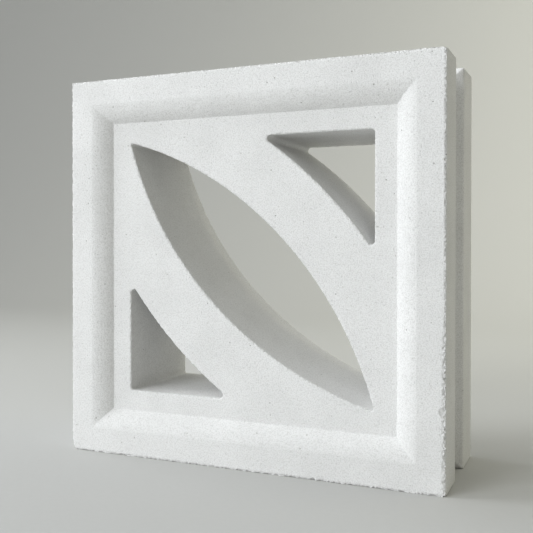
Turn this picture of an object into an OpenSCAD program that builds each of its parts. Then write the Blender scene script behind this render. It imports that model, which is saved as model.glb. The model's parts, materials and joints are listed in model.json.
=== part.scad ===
// Pierced screen-wall block, cast in one piece of white concrete.
// A square border with a rounded inner edge frames a panel that lies below it
// on both faces. A leaf-shaped opening runs through the panel along one
// diagonal, with a curved triangular opening on each side of it. A mortar
// groove runs round the four edge faces, in the middle of their depth.
// Millimetres. +Z is up, the front face looks along -Y, and the origin is at
// the middle of the bottom.

/* [Block] */
// Width and height of the square face
face_w = 290; // [250:5:400]
// Depth from the front face to the back face
depth = 110; // [80:1:160]
// Radius of the four outer corners of the face
corner_r = 1; // [0.5:0.5:8]
// Angle of the slight break where a rounded edge meets the surface beside it
break_angle = 4; // [2:0.5:8]

/* [Border] */
// Width of the flat land along the outside of the border
land_w = 19; // [10:0.5:30]
// How far the panel lies below the land, on both faces
recess = 9; // [5:0.5:14]
// Angle of the break where the land drops into the rounded inner edge
lip_angle = 8; // [4:1:16]
// Radius of the border's rounded inner edge
bead_r = 21; // [5:0.5:24]
// Angle between the face and the slope below the rounded edge
slope_angle = 50; // [35:1:65]

/* [Openings] */
// Plain panel between the foot of the border and the openings
panel_margin = 15.5; // [8:0.5:24]
// Width of the leaf across its middle
leaf_w = 72; // [40:1:110]
// Width of the curved band between the leaf and each triangle
band_w = 46; // [30:1:70]
// Radius of the leaf's two tips
leaf_tip_r = 1.5; // [0.5:0.25:4]
// Radius of the triangles' corners
triangle_r = 2.5; // [0.5:0.25:5]

/* [Mortar groove] */
// Width of the groove's mouth, between its two walls
groove_w = 35; // [24:1:50]
// Depth of the groove
groove_depth = 10; // [5:0.5:14]
// Angle between the edge face and the groove's walls
groove_angle = 57; // [50:1:85]
// Radius of the rounded shoulders beside the groove
shoulder_r = 3; // [0.5:0.5:6]

/* [Hidden] */
$fn = 128;

// How far each cutting shape runs past the face that it cuts
over = 2;

// A rounded edge takes at most this share of the recess or groove below it
round_share = 0.9;
bead_fit_r = min(bead_r, round_share * recess / (cos(lip_angle) - cos(slope_angle)));
shoulder_fit_r = min(shoulder_r, round_share * groove_depth / (cos(break_angle) - cos(groove_angle)));

// How far outside a slope's line, at the surface, the centre of its rounded edge lies
function centre_shift(angle, lip, r) = r * (cos(break_angle) - cos(lip) * cos(angle)) / sin(angle);

// Where the slopes of the border meet the face, and their foot on the panel
bead_centre = face_w / 2 - land_w + bead_fit_r * sin(lip_angle);
slope_half = bead_centre - centre_shift(slope_angle, lip_angle, bead_fit_r);
panel_half = slope_half - recess / tan(slope_angle);

// The square that holds all the openings, by half its side
window_half = panel_half - panel_margin;

// The leaf's two arcs cross at two opposite corners of that square
leaf_half_length = window_half * sqrt(2);
leaf_r = (pow(leaf_half_length, 2) + pow(leaf_w / 2, 2)) / leaf_w;
leaf_centre = leaf_r - leaf_w / 2;

// Each triangle's long side is an arc about the centre of the leaf's near arc
band_r = leaf_r + band_w;
band_centre = leaf_centre / sqrt(2);

// Square with rounded corners, about its middle
module rounded_square(side, r) {
    square([side, side - 2 * r], center = true);
    square([side - 2 * r, side], center = true);
    for (x = [-1, 1], y = [-1, 1])
        translate([x, y] * (side / 2 - r))
            circle(r = r);
}

// Section of a trough that is cut down from y = 0 towards +y. The lines of its
// two slopes meet the surface at x = -half and x = half, where radius r rounds
// the edge. The rounded edge breaks from the surface by the angle lip.
module trough_section(half, deep, angle, lip, r) {
    foot = half - deep / tan(angle);
    centre = [half + centre_shift(angle, lip, r), r * cos(lip)];
    slope_start = centre - r * cos(break_angle) * [sin(angle), cos(angle)];
    difference() {
        polygon([
            [-centre.x, -over], [centre.x, -over], centre, slope_start, [foot, deep],
            [-foot, deep], [-slope_start.x, slope_start.y], [-centre.x, centre.y]
        ]);
        for (side = [-1, 1])
            translate([side * centre.x, centre.y])
                circle(r = r);
    }
}

// Leaf along x: two arcs that cross, with its tips rounded
module leaf_outline() {
    tip_x = sqrt(pow(leaf_r - leaf_tip_r, 2) - pow(leaf_centre, 2));
    tangent_x = tip_x * leaf_r / (leaf_r - leaf_tip_r);
    intersection() {
        translate([0, leaf_centre])
            circle(r = leaf_r);
        translate([0, -leaf_centre])
            circle(r = leaf_r);
        square([2 * tangent_x, 2 * leaf_w], center = true);
    }
    for (side = [-1, 1])
        translate([side * tip_x, 0])
            circle(r = leaf_tip_r);
}

// Triangle towards +x +y: two straight sides on the window square and an arc,
// with its three corners rounded
module triangle_outline() {
    inner = window_half - triangle_r;
    reach = band_r + triangle_r * cos(break_angle);
    tip = -band_centre + sqrt(pow(reach, 2) - pow(inner + band_centre, 2));
    arc_centre = [-band_centre, -band_centre];
    // The corners of the polygon beside the arc run past it, towards the arc's centre
    past_arc = (band_r - over) / reach;
    difference() {
        union() {
            polygon([
                [tip, window_half], [inner, window_half], [window_half, inner], [window_half, tip],
                [inner, tip], arc_centre + ([inner, tip] - arc_centre) * past_arc,
                arc_centre + ([tip, inner] - arc_centre) * past_arc, [tip, inner]
            ]);
            for (place = [[inner, inner], [tip, inner], [inner, tip]])
                translate(place)
                    circle(r = triangle_r);
        }
        translate(arc_centre)
            circle(r = band_r);
    }
}

// All three openings, as seen from the front
module openings_outline() {
    rotate(-45)
        leaf_outline();
    for (turn = [0, 180])
        rotate(turn)
            triangle_outline();
}

// Recess of the front face, with its corners mitred; the face is at y = 0
module face_recess() {
    intersection_for (turn = [0, 90])
        rotate([0, turn, 0])
            linear_extrude(height = face_w, center = true)
                trough_section(slope_half, recess, slope_angle, lip_angle, bead_fit_r);
}

// Mortar groove along the bottom edge face; the block's centre is the origin
module edge_groove() {
    translate([0, 0, -face_w / 2])
        rotate([90, 0, 90])
            linear_extrude(height = face_w + 2 * over, center = true)
                trough_section(groove_w / 2, groove_depth, groove_angle, break_angle, shoulder_fit_r);
}

module screen_block() {
    color([0.93, 0.93, 0.92])
        translate([0, 0, face_w / 2])
            difference() {
                rotate([90, 0, 0])
                    linear_extrude(height = depth, center = true)
                        rounded_square(face_w, corner_r);
                for (side = [0, 1])
                    mirror([0, side, 0])
                        translate([0, -depth / 2, 0])
                            face_recess();
                rotate([90, 0, 0])
                    linear_extrude(height = depth + 2 * over, center = true)
                        openings_outline();
                for (turn = [0:90:270])
                    rotate([0, turn, 0])
                        edge_groove();
            }
}

screen_block();
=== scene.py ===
"""Pierced screen-wall block, cast in one piece of white concrete.

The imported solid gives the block's form. This script wears its arrises, breaks a
few chips out of them, gives the cast surface its sand grain and air pits, and sets
a plain studio stage with the camera round it. Metres, +Z up, front face towards -Y.
"""

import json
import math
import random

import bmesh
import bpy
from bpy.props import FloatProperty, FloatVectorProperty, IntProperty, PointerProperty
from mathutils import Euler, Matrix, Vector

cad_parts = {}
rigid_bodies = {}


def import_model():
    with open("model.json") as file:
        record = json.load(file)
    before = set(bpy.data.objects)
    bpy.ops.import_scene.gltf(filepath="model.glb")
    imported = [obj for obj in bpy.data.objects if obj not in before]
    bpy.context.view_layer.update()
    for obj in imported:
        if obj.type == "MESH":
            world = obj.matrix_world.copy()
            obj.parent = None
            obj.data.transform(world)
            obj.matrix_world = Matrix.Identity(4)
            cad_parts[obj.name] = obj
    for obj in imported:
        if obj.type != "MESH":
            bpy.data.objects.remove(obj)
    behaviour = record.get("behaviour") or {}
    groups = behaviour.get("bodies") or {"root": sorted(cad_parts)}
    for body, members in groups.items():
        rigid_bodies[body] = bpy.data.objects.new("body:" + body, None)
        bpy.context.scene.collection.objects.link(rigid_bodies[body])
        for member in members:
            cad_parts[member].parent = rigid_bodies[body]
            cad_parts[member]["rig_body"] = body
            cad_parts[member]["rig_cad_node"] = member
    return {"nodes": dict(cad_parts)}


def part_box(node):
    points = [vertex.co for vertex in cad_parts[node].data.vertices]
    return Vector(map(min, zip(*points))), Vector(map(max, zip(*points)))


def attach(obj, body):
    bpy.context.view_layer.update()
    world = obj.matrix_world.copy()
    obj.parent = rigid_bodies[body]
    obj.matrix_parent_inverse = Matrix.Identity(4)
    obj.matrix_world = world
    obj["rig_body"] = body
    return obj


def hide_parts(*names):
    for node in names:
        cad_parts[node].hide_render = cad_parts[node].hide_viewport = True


bl_info = {
    "name": "Screen Wall Block",
    "version": (1, 0, 0),
    "blender": (4, 5, 0),
    "location": "3D View > Sidebar > Screen Block",
    "description": "Worn, cast concrete screen-wall block on a plain studio stage",
    "category": "Add Mesh",
}

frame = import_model()

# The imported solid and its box
BLOCK_NODE = "screen_block"
BLOCK_LOW, BLOCK_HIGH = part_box(BLOCK_NODE)
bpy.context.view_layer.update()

# The photograph is square, with this many pixels along each side
PHOTO_SIDE = 533
SENSOR_WIDTH = 36.0

MM = 0.001


class CastBlockSettings(bpy.types.PropertyGroup):
    """Wear and finish of the cast block"""

    mesh_step: FloatProperty(
        name="Mesh Step",
        description="Size of the cells that the worn surface is rebuilt from",
        default=0.55 * MM, min=0.4 * MM, max=3 * MM, precision=5, unit="LENGTH",
    )
    face_limit: IntProperty(
        name="Triangles",
        description="Triangles that the finished block may have",
        default=190000, min=20000, max=198000,
    )
    outer_wear: FloatProperty(
        name="Outer Arris Wear",
        description="Most that crumbles off the outer arrises of both faces",
        default=1.1 * MM, min=0.0, max=4 * MM, precision=5, unit="LENGTH",
    )
    opening_wear: FloatProperty(
        name="Opening Arris Wear",
        description="Most that crumbles off the arrises of the openings",
        default=0.75 * MM, min=0.0, max=4 * MM, precision=5, unit="LENGTH",
    )
    battered_wear: FloatProperty(
        name="Battered Arris Wear",
        description="Most that is knocked off the lower right arris of the front face",
        default=1.2 * MM, min=0.0, max=4 * MM, precision=5, unit="LENGTH",
    )
    scuff_depth: FloatProperty(
        name="Scuff Depth",
        description="Depth of the rough scuff in the lower right corner of the front face",
        default=1.1 * MM, min=0.0, max=4 * MM, precision=5, unit="LENGTH",
    )
    crumb_size: FloatProperty(
        name="Crumb Size",
        description="Size of the crumbs that come off the arrises",
        default=1.4 * MM, min=0.5 * MM, max=10 * MM, precision=5, unit="LENGTH",
    )
    chip_count: IntProperty(
        name="Small Chips",
        description="Small chips scattered along the outer arrises",
        default=48, min=0, max=300,
    )
    concrete_colour: FloatVectorProperty(
        name="Concrete",
        description="Colour of the white cast concrete",
        default=(0.86, 0.858, 0.85), min=0.0, max=1.0, subtype="COLOR",
    )
    mottle_colour: FloatVectorProperty(
        name="Mottle",
        description="Colour of the slightly greyer clouds in the concrete",
        default=(0.81, 0.808, 0.80), min=0.0, max=1.0, subtype="COLOR",
    )
    # Painted shade: the dark colour that the concrete is mixed towards between the sand grains, in
    # the fine pores and in the air pits
    painted_shade_colour: FloatVectorProperty(
        name="Pits",
        description="Colour inside the small air pits",
        default=(0.40, 0.39, 0.37), min=0.0, max=1.0, subtype="COLOR",
    )
    grain_size: FloatProperty(
        name="Grain Size",
        description="Size of the sand grains that show on the faces",
        default=0.9 * MM, min=0.3 * MM, max=6 * MM, precision=5, unit="LENGTH",
    )
    grain_depth: FloatProperty(
        name="Grain Depth",
        description="Depth of the sand grain",
        default=0.4 * MM, min=0.0, max=2 * MM, precision=5, unit="LENGTH",
    )
    speck_spacing: FloatProperty(
        name="Speck Spacing",
        description="Mean distance between the fine pores in the concrete",
        default=2.6 * MM, min=0.5 * MM, max=20 * MM, precision=5, unit="LENGTH",
    )
    pit_spacing: FloatProperty(
        name="Pit Spacing",
        description="Mean distance between the larger air pits in the concrete",
        default=9 * MM, min=2 * MM, max=60 * MM, precision=5, unit="LENGTH",
    )


class StudioSettings(bpy.types.PropertyGroup):
    """Floor, light and camera of the stage"""

    floor_colour: FloatVectorProperty(
        name="Floor",
        description="Colour of the floor and of the sweep behind the block",
        default=(0.52, 0.52, 0.505), min=0.0, max=1.0, subtype="COLOR",
    )
    side_power: FloatProperty(
        name="Side Light",
        description="Power of the lamp that rakes the face from the left",
        default=6.5, min=0.0, max=100.0, unit="POWER",
    )
    top_power: FloatProperty(
        name="Top Light",
        description="Power of the lamp above the block, on its left",
        default=5.0, min=0.0, max=100.0, unit="POWER",
    )
    front_power: FloatProperty(
        name="Front Light",
        description="Power of the large lamp in front of the block, on its left",
        default=24.5, min=0.0, max=100.0, unit="POWER",
    )
    back_power: FloatProperty(
        name="Back Light",
        description="Power of the lamp behind the block that lights the sweep",
        default=40.0, min=0.0, max=500.0, unit="POWER",
    )
    left_glow: FloatProperty(
        name="Left Glow",
        description="Strength of the soft light all round where it is strongest, on the left",
        default=1.0, min=0.0, max=5.0,
    )
    right_glow: FloatProperty(
        name="Right Glow",
        description="Strength of the soft light all round where it is weakest, on the right",
        default=0.13, min=0.0, max=5.0,
    )
    focal_pixels: FloatProperty(
        name="Focal Length",
        description="Focal length of the camera, in pixels of the photograph",
        default=815.2, min=200.0, max=4000.0,
    )


def select_only(obj):
    """Deselects everything, then selects obj and makes it active."""
    bpy.ops.object.select_all(action="DESELECT")
    obj.select_set(True)
    bpy.context.view_layer.objects.active = obj


def apply_modifier(obj, kind, **settings):
    """Adds a modifier to obj, sets it and applies it."""
    select_only(obj)
    bpy.ops.object.modifier_add(type=kind)
    modifier = obj.modifiers[-1]
    for name, value in settings.items():
        setattr(modifier, name, value)
    bpy.ops.object.modifier_apply(modifier=modifier.name)


def remove_objects(*objects):
    """Deletes helper objects that the finished scene doesn't need."""
    for obj in objects:
        select_only(obj)
        bpy.ops.object.delete()


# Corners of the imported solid's triangles that lie closer than this are one point
MERGE_WITHIN = 0.002 * MM


def copy_of_block(name):
    """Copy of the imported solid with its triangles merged, free of the frame."""
    select_only(frame["nodes"][BLOCK_NODE])
    bpy.ops.object.duplicate()
    copy = bpy.context.active_object
    copy.name = name
    copy.data.name = name
    bpy.ops.object.parent_clear(type="CLEAR_KEEP_TRANSFORM")
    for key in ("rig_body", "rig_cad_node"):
        del copy[key]
    copy.data.materials.clear()
    bpy.ops.object.mode_set(mode="EDIT")
    bpy.ops.mesh.select_all(action="SELECT")
    bpy.ops.mesh.remove_doubles(threshold=MERGE_WITHIN)
    bpy.ops.mesh.customdata_custom_splitnormals_clear()
    bpy.ops.object.mode_set(mode="OBJECT")
    return copy


def pick_edges(obj, wanted):
    """Selects, in edit mode, only those edges of obj that wanted is true for."""
    bpy.ops.mesh.select_mode(type="EDGE")
    bpy.ops.mesh.select_all(action="DESELECT")
    mesh = bmesh.from_edit_mesh(obj.data)
    for edge in mesh.edges:
        edge.select = wanted(edge)
    bmesh.update_edit_mesh(obj.data)


# Arrises sharper than this are worn
SHARP_ANGLE = math.radians(60)

# Points that differ by less than this in y lie in one plane
PLANE_WITHIN = 0.1 * MM


def in_plane(edge, y):
    """True for an edge that lies in the plane of that y."""
    return all(abs(v.co.y - y) < PLANE_WITHIN for v in edge.verts)


def is_arris(edge, outer):
    """True for a sharp arris round the outside of a land, or else for one of an opening."""
    sharp = edge.calc_face_angle_signed() > SHARP_ANGLE
    flat = in_plane(edge, edge.verts[0].co.y)
    on_a_land = in_plane(edge, BLOCK_LOW.y) or in_plane(edge, BLOCK_HIGH.y)
    return sharp and flat and on_a_land == outer


def arris_wire(name, outer):
    """Wire of the sharp arrises: those round the outside, or those of the openings."""
    wire = copy_of_block(name)
    bpy.ops.object.mode_set(mode="EDIT")
    pick_edges(wire, lambda edge: not is_arris(edge, outer))
    bpy.ops.mesh.delete(type="EDGE")
    bpy.ops.object.mode_set(mode="OBJECT")
    return wire


# Height up to which the right arris of the front face is battered, and the number of
# cuts that divide each arris so that the battered stretch can end there
BATTERED_TOP = 104 * MM
BATTERED_CUTS = 50


def is_battered(edge):
    """True for an edge low on the front face's right arris."""
    middle = (edge.verts[0].co + edge.verts[1].co) / 2
    right_front = middle.x > BLOCK_HIGH.x - MM and middle.y < 0
    return right_front and middle.z < BATTERED_TOP


def battered_wire(name):
    """Wire of the battered stretch of the front face's right arris."""
    wire = arris_wire(name, True)
    bpy.ops.object.mode_set(mode="EDIT")
    bpy.ops.mesh.select_all(action="SELECT")
    bpy.ops.mesh.subdivide(number_cuts=BATTERED_CUTS)
    pick_edges(wire, lambda edge: not is_battered(edge))
    bpy.ops.mesh.delete(type="EDGE")
    bpy.ops.object.mode_set(mode="OBJECT")
    return wire


# Middle of the scuff on the front face (x, z) and how far it reaches, in millimetres
SCUFF_PLACE = (138, 14)
SCUFF_REACH = 13


def scuff_marker(name):
    """Empty at the middle of the scuff."""
    x, z = SCUFF_PLACE
    bpy.ops.object.empty_add(location=(x * MM, BLOCK_LOW.y, z * MM))
    marker = bpy.context.active_object
    marker.name = name
    return marker


# Chips seen on the front arrises: their place, then their half sizes along x, y
# and z, all in millimetres
SEEN_CHIPS = (
    ((88, -55, 290.4), (1.4, 1.2, 1.8)),
    ((145.6, -56.5, 88), (2.5, 2.1, 2.2)),
    ((145.4, -56.5, 74), (3.3, 2.3, 3.6)),
    ((145.6, -56.5, 66), (2.7, 2.1, 2.5)),
    ((145.2, -56.5, 55), (5.2, 2.3, 4.7)),
    ((145.6, -56.5, 48), (3.3, 2.1, 2.7)),
    ((145.6, -56.5, 37), (2.6, 2.1, 3.0)),
    ((145.6, -56.5, 26), (2.2, 2.1, 2.2)),
    ((145.4, -56.5, 15), (3.0, 2.2, 2.7)),
    ((39, -55, -0.4), (2.2, 1.4, 1.2)),
    ((46, -55, -0.5), (1.4, 1.2, 1.1)),
    ((60, -55, -0.5), (2.6, 1.4, 1.2)),
    ((91, -55, -0.4), (1.8, 1.3, 1.2)),
    ((137, -55, -0.3), (2.0, 1.4, 1.3)),
    ((-134, -55, -0.4), (2.0, 1.4, 1.3)),
    ((-118, -55, -0.5), (1.3, 1.2, 1.1)),
    ((-96, -55, -0.5), (1.6, 1.2, 1.1)),
    ((-145.5, -55, 21), (1.0, 1.3, 2.4)),
)

# Corners that are rubbed off, given the same way
RUBBED_CORNERS = (
    ((-153.9, -55, -1.8), (12, 10, 12)),
    ((-154.9, -55, 291.2), (12, 8, 12)),
    ((150.0, -55, 295.0), (8.5, 9, 8.5)),
    ((150.6, -55, -7.4), (10, 7, 10)),
    ((147.6, -14.5, 292.6), (5.5, 8, 5.5)),
)


# Seed of the draws, the most that a seen chip is turned, and the sizes of the small
# chips: the smallest half size, what is added to it at most, and how far it is stretched
CHIP_SEED = 41
CHIP_TURN = 0.4
SMALL_CHIP = 0.5 * MM
SMALL_CHIP_MORE = 0.9 * MM
SMALL_CHIP_STRETCH = (0.7, 1.6)


def add_chip(place, half_sizes, turn):
    """One lump that breaks a chip out of the block."""
    bpy.ops.object.select_all(action="DESELECT")
    bpy.ops.mesh.primitive_ico_sphere_add(
        subdivisions=3, radius=1, location=place, rotation=turn, scale=half_sizes,
    )
    bpy.ops.object.transform_apply(location=True, rotation=True, scale=True)
    return bpy.context.active_object


def add_chips(settings):
    """All the lumps that break chips out of the arrises, as one object."""
    draw = random.Random(CHIP_SEED)
    lumps = []
    for place, half_sizes in SEEN_CHIPS + RUBBED_CORNERS:
        turn = Euler([draw.uniform(-CHIP_TURN, CHIP_TURN) for _ in range(3)])
        lumps.append(add_chip(Vector(place) * MM, Vector(half_sizes) * MM, turn))
    half = (BLOCK_HIGH.x - BLOCK_LOW.x) / 2
    for _ in range(settings.chip_count):
        along = draw.uniform(-half, half)
        x, z = draw.choice(((along, -half), (along, half), (-half, along), (half, along)))
        y = draw.choice((BLOCK_LOW.y, BLOCK_HIGH.y))
        size = SMALL_CHIP + SMALL_CHIP_MORE * draw.random() ** 3
        half_sizes = Vector([size * draw.uniform(*SMALL_CHIP_STRETCH) for _ in range(3)])
        turn = Euler([draw.uniform(0, math.pi) for _ in range(3)])
        lumps.append(add_chip(Vector((x, y, z + half)), half_sizes, turn))
    bpy.ops.object.select_all(action="DESELECT")
    for lump in lumps:
        lump.select_set(True)
    bpy.context.view_layer.objects.active = lumps[0]
    bpy.ops.object.join()
    chips = bpy.context.active_object
    chips.name = "chip_lumps"
    return chips


# How far the wear reaches in from each kind of arris
OUTER_REACH = 1.8 * MM
OPENING_REACH = 1.5 * MM
BATTERED_REACH = 3.6 * MM

# Noises that shape the wear: their size in crumbs, their detail, and the two
# levels between which they turn from worn away to left standing
CRUMBLE_NOISE = (1, 1, 0.36, 0.64)
SPALL_NOISE = (5, 2, 0.3, 0.5)
KNOCKS_NOISE = (1.5, 2, 0.35, 0.6)

# Share of the outer wear that the broad spalls take off as well
SPALL_SHARE = 0.5

# Creases sharper than this stay crisp in the finished surface
CRISP_ANGLE = math.radians(18)


def cloud_texture(name, noise, crumb_size):
    """Soft noise for the wear, from 0 to 1, with features a number of crumbs in size."""
    crumbs, depth, low, high = noise
    texture = bpy.data.textures.new(name, "CLOUDS")
    texture.noise_scale = crumbs * crumb_size
    texture.noise_depth = depth
    texture.use_color_ramp = True
    dark, light = texture.color_ramp.elements
    dark.position = low
    dark.color = (0, 0, 0, 1)
    light.position = high
    light.color = (1, 1, 1, 1)
    return texture


def weigh_near(obj, group, target, reach):
    """Vertex group of obj that is 1 at the target, a wire or an empty, and 0 past reach."""
    mode = "OBJECT" if target.type == "EMPTY" else "GEOMETRY"
    select_only(obj)
    obj.vertex_groups.new(name=group)
    bpy.ops.object.mode_set(mode="EDIT")
    bpy.ops.mesh.select_all(action="SELECT")
    bpy.ops.object.vertex_group_assign()
    bpy.ops.object.mode_set(mode="OBJECT")
    apply_modifier(
        obj, "VERTEX_WEIGHT_PROXIMITY", vertex_group=group, target=target, proximity_mode=mode,
        proximity_geometry={"EDGE"}, min_dist=reach, max_dist=0.0, falloff_type="SMOOTH",
    )


def wear_away(obj, group, depth, texture):
    """Takes up to depth off obj where the group's weight is high and the noise is dark."""
    apply_modifier(
        obj, "DISPLACE", texture=texture, texture_coords="LOCAL", vertex_group=group,
        direction="NORMAL", mid_level=1.0, strength=depth,
    )


def triangle_count(obj):
    """Triangles in obj's mesh."""
    obj.data.calc_loop_triangles()
    return len(obj.data.loop_triangles)


class ShaderTree:
    """Short way to add nodes to a node tree and to link them."""

    def __init__(self, owner):
        owner.use_nodes = True
        self.tree = owner.node_tree
        self.tree.nodes.clear()

    def add(self, kind, place, **settings):
        node = self.tree.nodes.new(kind)
        node.location = place
        for name, value in settings.items():
            setattr(node, name, value)
        return node

    def link(self, output, entry):
        self.tree.links.new(output, entry)

    def math(self, operation, place, first, second):
        """Math node; each of first and second is a number or an output."""
        node = self.add("ShaderNodeMath", place, operation=operation)
        for entry, value in zip(node.inputs, (first, second)):
            if isinstance(value, (int, float)):
                entry.default_value = value
            else:
                self.link(value, entry)
        return node.outputs["Value"]

    def noise(self, place, coords, size, detail, roughness):
        """Noise with features of the given size, in metres."""
        node = self.add("ShaderNodeTexNoise", place)
        node.inputs["Scale"].default_value = 1 / size
        node.inputs["Detail"].default_value = detail
        node.inputs["Roughness"].default_value = roughness
        self.link(coords, node.inputs["Vector"])
        return node.outputs["Fac"]

    def ramp(self, place, value, low, high, to_low=0.0, to_high=1.0):
        """Maps low..high to to_low..to_high, smoothly and within those limits."""
        node = self.add("ShaderNodeMapRange", place, interpolation_type="SMOOTHSTEP")
        node.inputs["From Min"].default_value = low
        node.inputs["From Max"].default_value = high
        node.inputs["To Min"].default_value = to_low
        node.inputs["To Max"].default_value = to_high
        self.link(value, node.inputs["Value"])
        return node.outputs["Result"]

    def spots(self, place, coords, spacing, full, edge):
        """Round spots about spacing apart: 1 within full, 0 past edge, as shares of spacing."""
        node = self.add("ShaderNodeTexVoronoi", place)
        node.inputs["Scale"].default_value = 1 / spacing
        self.link(coords, node.inputs["Vector"])
        return self.ramp((place[0] + 200, place[1]), node.outputs["Distance"], full, edge, 1.0, 0.0)

    def mix(self, place, share, first, second):
        """Mix of two colours; each is an output or a colour."""
        node = self.add("ShaderNodeMix", place, data_type="RGBA")
        self.link(share, node.inputs[0])
        # The node has sockets of the same names for each kind of data; these are the colours'
        for entry, value in zip((node.inputs[6], node.inputs[7]), (first, second)):
            if isinstance(value, bpy.types.NodeSocket):
                self.link(value, entry)
            else:
                entry.default_value = (*value, 1.0)
        return node.outputs[2]


# Size of the faint clouds in the concrete
CLOUD_SIZE = 45 * MM

# How much of the sand grain the walls and edges keep
SMOOTH_SHARE = 0.45

# Width of the coarse lumps, in grains, and their height as a share of a grain's
LUMP_GRAINS = 5
LUMP_SHARE = 0.6

# How dark the shade between the grains and the fine pores is, and how deep the pores
# are next to the pits
GRAIN_SHADE = 0.31
SPECK_SHADE = 0.2
SPECK_DEPTH = 0.6


def cast_concrete_material(settings):
    """White cast concrete: sand grain, faint clouds and small air pits, with painted shade between
    the grains and in the pores and pits.
    """
    material = bpy.data.materials.new("white_cast_concrete")
    shader = ShaderTree(material)
    coords = shader.add("ShaderNodeTexCoord", (-1700, 0))
    place = coords.outputs["Object"]

    # The faces show the sand; the walls and edges came off the mould smoother
    normal = shader.add("ShaderNodeSeparateXYZ", (-1500, -600))
    shader.link(coords.outputs["Normal"], normal.inputs["Vector"])
    facing = shader.math("ABSOLUTE", (-1300, -600), normal.outputs["Y"], 0.0)
    sandy = shader.ramp((-1100, -600), facing, 0.3, 0.95, SMOOTH_SHARE, 1.0)

    grain = shader.noise((-1300, 300), place, settings.grain_size, 2.0, 0.6)
    lumps = shader.noise((-1300, 0), place, LUMP_GRAINS * settings.grain_size, 3.0, 0.55)
    clouds = shader.noise((-1300, 600), place, CLOUD_SIZE, 4.0, 0.55)
    speck = shader.spots((-1300, -300), place, settings.speck_spacing, 0.08, 0.2)
    pit = shader.spots((-1300, -900), place, settings.pit_spacing, 0.03, 0.06)
    sandy_speck = shader.math("MULTIPLY", (-900, -300), speck, sandy)

    cloudy = shader.ramp((-1100, 600), clouds, 0.35, 0.7)
    base = shader.mix((-800, 600), cloudy, settings.concrete_colour, settings.mottle_colour)
    # Painted shade between the sand grains: where the grain noise is low the concrete colour is
    # darkened towards the shade colour
    grain_painted_shade = shader.ramp((-1100, 400), grain, 0.32, 0.6, GRAIN_SHADE, 0.0)
    sanded = shader.mix((-600, 500), grain_painted_shade, base, settings.painted_shade_colour)
    # Painted shade in the fine pores on the faces; faint is how strongly they are darkened
    faint = shader.math("MULTIPLY", (-700, 300), sandy_speck, SPECK_SHADE)
    pore_shaded = shader.mix((-500, 400), faint, sanded, settings.painted_shade_colour)
    # Painted shade in the air pits, which the bump below also dents
    pit_shaded = shader.mix((-300, 400), pit, pore_shaded, settings.painted_shade_colour)

    coarse = shader.math("MULTIPLY", (-900, 0), lumps, LUMP_SHARE)
    rough = shader.math("ADD", (-700, 100), grain, coarse)
    sanded_height = shader.math("MULTIPLY", (-500, 0), rough, sandy)
    shallow = shader.math("MULTIPLY", (-700, -200), sandy_speck, SPECK_DEPTH)
    pores = shader.math("MAXIMUM", (-500, -200), shallow, pit)
    height = shader.math("SUBTRACT", (-300, -100), sanded_height, pores)

    bump = shader.add("ShaderNodeBump", (-100, -200))
    bump.inputs["Strength"].default_value = 1.0
    bump.inputs["Distance"].default_value = settings.grain_depth
    shader.link(height, bump.inputs["Height"])

    surface = shader.add("ShaderNodeBsdfPrincipled", (100, 200))
    surface.inputs["Roughness"].default_value = 0.92
    surface.inputs["Specular IOR Level"].default_value = 0.25
    shader.link(pit_shaded, surface.inputs["Base Color"])
    shader.link(bump.outputs["Normal"], surface.inputs["Normal"])
    output = shader.add("ShaderNodeOutputMaterial", (400, 200))
    shader.link(surface.outputs["BSDF"], output.inputs["Surface"])
    return material


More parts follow.
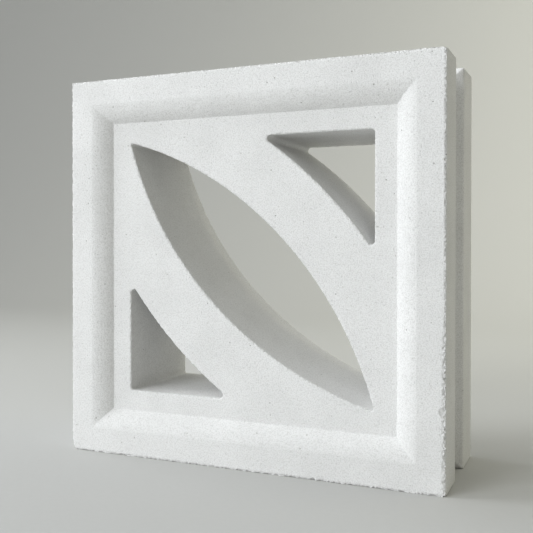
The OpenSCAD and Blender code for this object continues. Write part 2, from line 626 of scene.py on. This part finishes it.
class SCREENBLOCK_OT_cast_block(bpy.types.Operator):
    """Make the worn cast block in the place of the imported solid"""

    bl_idname = "screen_block.cast_block"
    bl_label = "Cast Block"
    bl_options = {"REGISTER", "UNDO"}

    def execute(self, context):
        settings = context.scene.cast_block
        block = copy_of_block("cast_block")
        solid = copy_of_block("packed_solid")
        outer = arris_wire("outer_arrises", True)
        openings = arris_wire("opening_arrises", False)
        battered = battered_wire("battered_arris")
        scuff = scuff_marker("scuff_middle")
        chips = add_chips(settings)

        # The lumps break out their chips, and an even fine mesh takes the wear
        apply_modifier(
            block, "BOOLEAN", operation="DIFFERENCE", object=chips, solver="EXACT", use_self=True,
        )
        apply_modifier(
            block, "REMESH", mode="VOXEL", voxel_size=settings.mesh_step, use_smooth_shade=True,
        )

        # The arrises are eased a little, then crumbled
        weigh_near(block, "outer", outer, OUTER_REACH)
        weigh_near(block, "opening", openings, OPENING_REACH)
        weigh_near(block, "battered", battered, BATTERED_REACH)
        weigh_near(block, "scuff", scuff, SCUFF_REACH * MM)
        apply_modifier(block, "SMOOTH", vertex_group="outer", factor=0.5, iterations=2)
        apply_modifier(block, "SMOOTH", vertex_group="opening", factor=0.5, iterations=1)
        crumble = cloud_texture("arris_crumble", CRUMBLE_NOISE, settings.crumb_size)
        spall = cloud_texture("arris_spall", SPALL_NOISE, settings.crumb_size)
        knocks = cloud_texture("arris_knocks", KNOCKS_NOISE, settings.crumb_size)
        wear_away(block, "outer", settings.outer_wear, crumble)
        wear_away(block, "outer", SPALL_SHARE * settings.outer_wear, spall)
        wear_away(block, "opening", settings.opening_wear, crumble)
        wear_away(block, "battered", settings.battered_wear, knocks)
        wear_away(block, "scuff", settings.scuff_depth, knocks)

        # The mesh is thinned where it is flat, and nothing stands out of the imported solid
        share = settings.face_limit / triangle_count(block)
        apply_modifier(block, "DECIMATE", ratio=share, use_collapse_triangulate=True)
        apply_modifier(
            block, "SHRINKWRAP", target=solid,
            wrap_method="NEAREST_SURFACEPOINT", wrap_mode="INSIDE",
        )
        remove_objects(solid, outer, openings, battered, scuff, chips)
        select_only(block)
        bpy.ops.object.vertex_group_remove(all=True)
        bpy.ops.object.shade_smooth_by_angle(angle=CRISP_ANGLE)
        apply_modifier(block, "WEIGHTED_NORMAL", keep_sharp=True)

        block.data.materials.append(cast_concrete_material(settings))
        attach(block, "root")
        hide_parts(BLOCK_NODE)
        return {"FINISHED"}


# Floor: its half width, where behind the block the sweep stands, the height of the
# sweep, and the reach and the steps of the fold between them
FLOOR_HALF = 6.0
FLOOR_BACK = 2.4
SWEEP_HEIGHT = 4.0
SWEEP_FOLD = 1.4
FOLD_STEPS = 24

# Size of the paper's fibres, and their colour as a share of the floor's
FIBRE_SIZE = 4 * MM
FIBRE_TONE = 0.985

# The camera stands right of the block's middle, at about half its height
CAMERA_PLACE = (0.2356, -0.5901, 0.1653)
CAMERA_TURN = math.radians(25.316)
CAMERA_DIP = math.radians(0.575)

# Pixel of the photograph that the lens looks straight at
LENS_AXIS_PIXEL = (217.2, 248.8)

# Nearest distance that the camera shows
CAMERA_NEAR = 0.01

# Where each soft lamp hangs and what it faces, both seen from the block's middle, and
# the length of its side
SIDE_LAMP = ((-2.16, -0.77, 0.72), (0, 0, 0), 0.9)
TOP_LAMP = ((-0.72, -0.12, 0.96), (0, 0, 0), 0.6)
FRONT_LAMP = ((-1.0, -1.9, 0.75), (0, 0, 0), 1.1)
BACK_LAMP = ((1.4, 0.6, 1.5), (1.6, 2.6, 0.3), 1.6)

# The light from the left is a little cool, and the light from the right a little warm
DAYLIGHT = (0.948, 0.976, 1.0)
ROOM_LIGHT = (1.0, 0.98, 0.80)

# Grey of the surround where the camera sees past the floor
SURROUND_TONE = 0.6


def is_fold(edge):
    """True for the edge where the floor meets the sweep."""
    return in_plane(edge, FLOOR_BACK) and all(v.co.z < PLANE_WITHIN for v in edge.verts)


def add_floor(settings):
    """Floor with a curved sweep behind the block, in one plain colour."""
    bpy.ops.object.select_all(action="DESELECT")
    bpy.ops.mesh.primitive_plane_add(size=2 * FLOOR_HALF, location=(0, FLOOR_BACK - FLOOR_HALF, 0))
    floor = bpy.context.active_object
    floor.name = "studio_floor"
    bpy.ops.object.transform_apply(location=True, rotation=True, scale=True)
    bpy.ops.object.mode_set(mode="EDIT")
    pick_edges(floor, is_fold)
    bpy.ops.mesh.extrude_region_move(TRANSFORM_OT_translate={"value": (0, 0, SWEEP_HEIGHT)})
    pick_edges(floor, is_fold)
    bpy.ops.mesh.bevel(offset=SWEEP_FOLD, offset_type="OFFSET", segments=FOLD_STEPS)
    bpy.ops.mesh.select_all(action="SELECT")
    bpy.ops.mesh.normals_make_consistent(inside=True)
    bpy.ops.object.mode_set(mode="OBJECT")
    bpy.ops.object.shade_smooth()

    material = bpy.data.materials.new("studio_paper")
    shader = ShaderTree(material)
    coords = shader.add("ShaderNodeTexCoord", (-900, 0))
    fibre = shader.noise((-700, 0), coords.outputs["Object"], FIBRE_SIZE, 3.0, 0.6)
    tone = shader.ramp((-500, 0), fibre, 0.3, 0.7)
    fibre_colour = [FIBRE_TONE * c for c in settings.floor_colour]
    paper = shader.mix((-300, 0), tone, settings.floor_colour, fibre_colour)
    surface = shader.add("ShaderNodeBsdfPrincipled", (-100, 0))
    surface.inputs["Roughness"].default_value = 0.95
    surface.inputs["Specular IOR Level"].default_value = 0.1
    shader.link(paper, surface.inputs["Base Color"])
    output = shader.add("ShaderNodeOutputMaterial", (200, 0))
    shader.link(surface.outputs["BSDF"], output.inputs["Surface"])
    floor.data.materials.append(material)


def add_lamp(name, lamp, power, colour):
    """Square soft lamp that stays out of the picture."""
    place, aim, side = lamp
    middle = (BLOCK_LOW + BLOCK_HIGH) / 2
    beam = Vector(aim) - Vector(place)
    bpy.ops.object.light_add(type="AREA", location=middle + Vector(place))
    light = bpy.context.active_object
    light.name = name
    light.data.shape = "SQUARE"
    light.data.size = side
    light.data.energy = power
    light.data.color = colour
    light.rotation_euler = beam.to_track_quat("-Z", "Y").to_euler()
    light.visible_camera = False


def add_surround(settings):
    """Soft light from all round, strongest on the left; the camera sees one plain grey."""
    world = bpy.data.worlds.new("studio_surround")
    bpy.context.scene.world = world
    shader = ShaderTree(world)
    coords = shader.add("ShaderNodeTexCoord", (-800, 0))
    direction = shader.add("ShaderNodeSeparateXYZ", (-600, 0))
    shader.link(coords.outputs["Generated"], direction.inputs["Vector"])
    strength = shader.add("ShaderNodeMapRange", (-400, 0))
    strength.inputs["From Min"].default_value = -1.0
    strength.inputs["From Max"].default_value = 1.0
    strength.inputs["To Min"].default_value = settings.left_glow
    strength.inputs["To Max"].default_value = settings.right_glow
    shader.link(direction.outputs["X"], strength.inputs["Value"])
    warmth = shader.ramp((-600, 300), direction.outputs["X"], 0.0, 0.8)
    tint = shader.mix((-400, 300), warmth, DAYLIGHT, ROOM_LIGHT)
    glow = shader.add("ShaderNodeBackground", (-200, 0))
    shader.link(tint, glow.inputs["Color"])
    shader.link(strength.outputs["Result"], glow.inputs["Strength"])
    plain = shader.add("ShaderNodeBackground", (-200, -200))
    plain.inputs["Strength"].default_value = SURROUND_TONE
    path = shader.add("ShaderNodeLightPath", (-200, 400))
    seen = shader.add("ShaderNodeMixShader", (0, 0))
    shader.link(path.outputs["Is Camera Ray"], seen.inputs["Fac"])
    shader.link(glow.outputs["Background"], seen.inputs[1])
    shader.link(plain.outputs["Background"], seen.inputs[2])
    output = shader.add("ShaderNodeOutputWorld", (250, 0))
    shader.link(seen.outputs["Shader"], output.inputs["Surface"])


def add_lights(settings):
    """Four soft lamps and the light from all round."""
    add_lamp("side_lamp", SIDE_LAMP, settings.side_power, DAYLIGHT)
    add_lamp("top_lamp", TOP_LAMP, settings.top_power, DAYLIGHT)
    add_lamp("front_lamp", FRONT_LAMP, settings.front_power, DAYLIGHT)
    add_lamp("back_lamp", BACK_LAMP, settings.back_power, ROOM_LIGHT)
    add_surround(settings)


def add_camera(settings):
    """Camera at the photograph's place, angle and framing."""
    turn = (math.pi / 2 - CAMERA_DIP, 0.0, CAMERA_TURN)
    bpy.ops.object.camera_add(location=CAMERA_PLACE, rotation=turn)
    camera = bpy.context.active_object
    camera.name = "photo_camera"
    camera.data.sensor_width = SENSOR_WIDTH
    camera.data.lens = settings.focal_pixels / PHOTO_SIDE * SENSOR_WIDTH
    camera.data.shift_x = 0.5 - LENS_AXIS_PIXEL[0] / PHOTO_SIDE
    camera.data.shift_y = LENS_AXIS_PIXEL[1] / PHOTO_SIDE - 0.5
    camera.data.clip_start = CAMERA_NEAR
    bpy.context.scene.camera = camera


class SCREENBLOCK_OT_studio_stage(bpy.types.Operator):
    """Set the floor, the lights and the camera round the block"""

    bl_idname = "screen_block.studio_stage"
    bl_label = "Studio Stage"
    bl_options = {"REGISTER", "UNDO"}

    def execute(self, context):
        settings = context.scene.studio_stage
        add_floor(settings)
        add_lights(settings)
        add_camera(settings)
        context.scene.view_settings.view_transform = "Standard"
        return {"FINISHED"}


class SCREENBLOCK_PT_sidebar(bpy.types.Panel):
    """Lists the block's and the stage's settings, with the button that makes each"""

    bl_idname = "SCREENBLOCK_PT_sidebar"
    bl_label = "Screen Block"
    bl_space_type = "VIEW_3D"
    bl_region_type = "UI"
    bl_category = "Screen Block"

    def draw(self, context):
        groups = (
            (context.scene.cast_block, SCREENBLOCK_OT_cast_block),
            (context.scene.studio_stage, SCREENBLOCK_OT_studio_stage),
        )
        for settings, operator in groups:
            box = self.layout.box()
            for name in settings.__annotations__:
                box.prop(settings, name)
            box.operator(operator.bl_idname)


CLASSES = (
    CastBlockSettings,
    StudioSettings,
    SCREENBLOCK_OT_cast_block,
    SCREENBLOCK_OT_studio_stage,
    SCREENBLOCK_PT_sidebar,
)


def register():
    for cls in CLASSES:
        bpy.utils.register_class(cls)
    bpy.types.Scene.cast_block = PointerProperty(type=CastBlockSettings)
    bpy.types.Scene.studio_stage = PointerProperty(type=StudioSettings)


def unregister():
    del bpy.types.Scene.studio_stage
    del bpy.types.Scene.cast_block
    for cls in reversed(CLASSES):
        bpy.utils.unregister_class(cls)


def main():
    register()
    bpy.ops.screen_block.cast_block()
    bpy.ops.screen_block.studio_stage()


if __name__ == "__main__":
    main()
